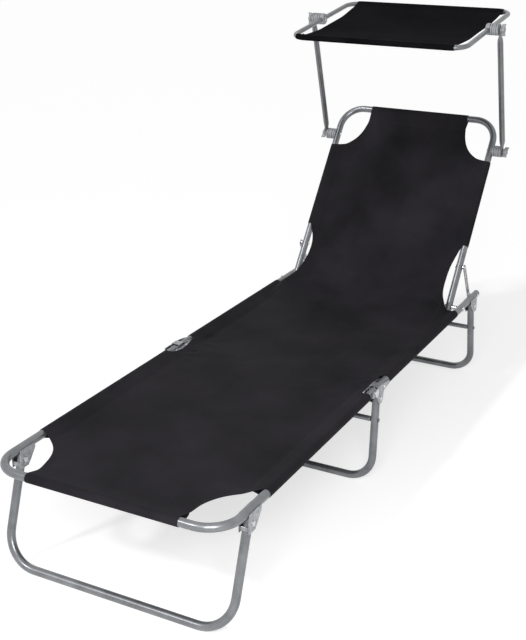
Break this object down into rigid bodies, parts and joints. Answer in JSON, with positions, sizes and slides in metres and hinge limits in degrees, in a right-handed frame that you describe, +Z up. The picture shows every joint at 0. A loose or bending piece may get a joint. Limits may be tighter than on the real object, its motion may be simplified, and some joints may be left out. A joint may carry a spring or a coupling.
{
  "type": "folding sun lounger",
  "caption": "Folding sun lounger of bent steel tube with a sling in three sections, a reclining backrest, folding legs and a small tilting canopy over the head end.",
  "frame": {"origin": "on the ground under the middle of the lounger's bounding box", "axes": "+Z up, +Y towards the head end and the canopy, +X to the right of a person who looks from the foot end to the head end"},
  "size_m": [0.5846, 1.724, 1.025],
  "materials": {
    "tube_steel": "silver-grey powder coat, satin",
    "plate_steel": "zinc-plated pressed plate",
    "bright_steel": "bright zinc-plated rivets, pins and bolts",
    "grey_plastic": "moulded light grey plastic",
    "sling_fabric": "black coated woven fabric, matte"
  },
  "bodies": {
    "seat": {"seat_rail_left": "tube_steel", "seat_rail_right": "tube_steel", "seat_sling": "sling_fabric", "rear_leg_bracket_left": "plate_steel", "rear_leg_bracket_right": "plate_steel", "rail_end_cap_left": "grey_plastic", "rail_end_cap_right": "grey_plastic", "link_lower_pin_left": "bright_steel", "link_lower_pin_right": "bright_steel", "backrest_pivot_left": "bright_steel", "backrest_pivot_right": "bright_steel", "seat_section_rivet_left": "bright_steel", "seat_section_rivet_right": "bright_steel", "rear_leg_rivet_left": "bright_steel", "rear_leg_rivet_right": "bright_steel"},
    "mid_hinge": {"mid_hinge_bracket_left": "plate_steel", "mid_hinge_bracket_right": "plate_steel", "foot_section_rivet_left": "bright_steel", "foot_section_rivet_right": "bright_steel", "middle_leg_rivet_left": "bright_steel", "middle_leg_rivet_right": "bright_steel"},
    "foot_section": {"foot_frame": "tube_steel", "foot_sling": "sling_fabric", "foot_leg_bracket_left": "plate_steel", "foot_leg_bracket_right": "plate_steel", "foot_leg_rivet_left": "bright_steel", "foot_leg_rivet_right": "bright_steel"},
    "foot_leg": {"foot_leg": "tube_steel"},
    "middle_leg": {"middle_leg": "tube_steel", "middle_leg_crossbar": "tube_steel"},
    "rear_leg": {"rear_leg": "tube_steel", "rear_leg_crossbar": "tube_steel"},
    "backrest": {"back_frame": "tube_steel", "back_sling": "sling_fabric", "link_upper_pin_left": "bright_steel", "link_upper_pin_right": "bright_steel", "lower_clamp_disc_left": "grey_plastic", "lower_clamp_disc_right": "grey_plastic", "lower_clamp_bolt_left": "bright_steel", "lower_clamp_bolt_right": "bright_steel"},
    "recline_links": {"recline_link_left": "plate_steel", "recline_link_right": "plate_steel"},
    "canopy_arms": {"canopy_arm_left": "tube_steel", "canopy_arm_right": "tube_steel", "arm_lower_disc_left": "grey_plastic", "arm_lower_disc_right": "grey_plastic", "arm_upper_disc_left": "grey_plastic", "arm_upper_disc_right": "grey_plastic"},
    "canopy": {"canopy_frame": "tube_steel", "canopy_fabric": "sling_fabric", "upper_clamp_disc_left": "grey_plastic", "upper_clamp_disc_right": "grey_plastic", "upper_clamp_bolt_left": "bright_steel", "upper_clamp_bolt_right": "bright_steel"},
    "lower_knob_left": {"lower_wing_knob_left": "grey_plastic"},
    "lower_knob_right": {"lower_wing_knob_right": "grey_plastic"},
    "upper_knob_left": {"upper_wing_knob_left": "grey_plastic"},
    "upper_knob_right": {"upper_wing_knob_right": "grey_plastic"}
  },
  "joints": [
    {"name": "mid_fold", "type": "hinge", "parent": "seat", "child": "mid_hinge", "pos_m": [0, -0.1045, 0.24768], "axis": [-1, 0, 0], "range_deg": [0, 84]},
    {"name": "foot_fold", "type": "hinge", "parent": "mid_hinge", "child": "foot_section", "pos_m": [0, -0.1495, 0.24768], "axis": [-1, 0, 0], "range_deg": [0, 84]},
    {"name": "foot_leg_fold", "type": "hinge", "parent": "foot_section", "child": "foot_leg", "pos_m": [0, -0.756, 0.22368], "axis": [1, 0, 0], "range_deg": [0, 105]},
    {"name": "middle_leg_fold", "type": "hinge", "parent": "mid_hinge", "child": "middle_leg", "pos_m": [0, -0.122, 0.22368], "axis": [1, 0, 0], "range_deg": [0, 90]},
    {"name": "rear_leg_fold", "type": "hinge", "parent": "seat", "child": "rear_leg", "pos_m": [0, 0.578, 0.22368], "axis": [-1, 0, 0], "range_deg": [0, 97]},
    {"name": "backrest_recline", "type": "hinge", "parent": "seat", "child": "backrest", "pos_m": [0, 0.479, 0.24768], "axis": [-1, 0, 0], "range_deg": [-75, 53]},
    {"name": "link_swing", "type": "hinge", "parent": "backrest", "child": "recline_links", "pos_m": [0, 0.55182, 0.34431], "axis": [1, 0, 0], "range_deg": [-48, 34]},
    {"name": "canopy_swing", "type": "hinge", "parent": "backrest", "child": "canopy_arms", "pos_m": [0, 0.77028, 0.63422], "axis": [1, 0, 0], "range_deg": [-110, 80]},
    {"name": "canopy_tilt", "type": "hinge", "parent": "canopy_arms", "child": "canopy", "pos_m": [0, 0.65781, 0.99091], "axis": [-1, 0, 0], "range_deg": [-60, 60]},
    {"name": "lower_knob_turn_left", "type": "hinge", "parent": "backrest", "child": "lower_knob_left", "pos_m": [-0.285, 0.77028, 0.63422], "axis": [-1, 0, 0], "continuous": true},
    {"name": "upper_knob_turn_left", "type": "hinge", "parent": "canopy", "child": "upper_knob_left", "pos_m": [-0.285, 0.65781, 0.99091], "axis": [-1, 0, 0], "continuous": true},
    {"name": "lower_knob_turn_right", "type": "hinge", "parent": "backrest", "child": "lower_knob_right", "pos_m": [0.285, 0.77028, 0.63422], "axis": [1, 0, 0], "continuous": true},
    {"name": "upper_knob_turn_right", "type": "hinge", "parent": "canopy", "child": "upper_knob_right", "pos_m": [0.285, 0.65781, 0.99091], "axis": [1, 0, 0], "continuous": true}
  ],
  "couplings": [
    {"joint": "foot_fold", "follows": "mid_fold", "ratio": 1},
    {"joint": "link_swing", "follows": "backrest_recline", "ratio": 0.634}
  ]
}
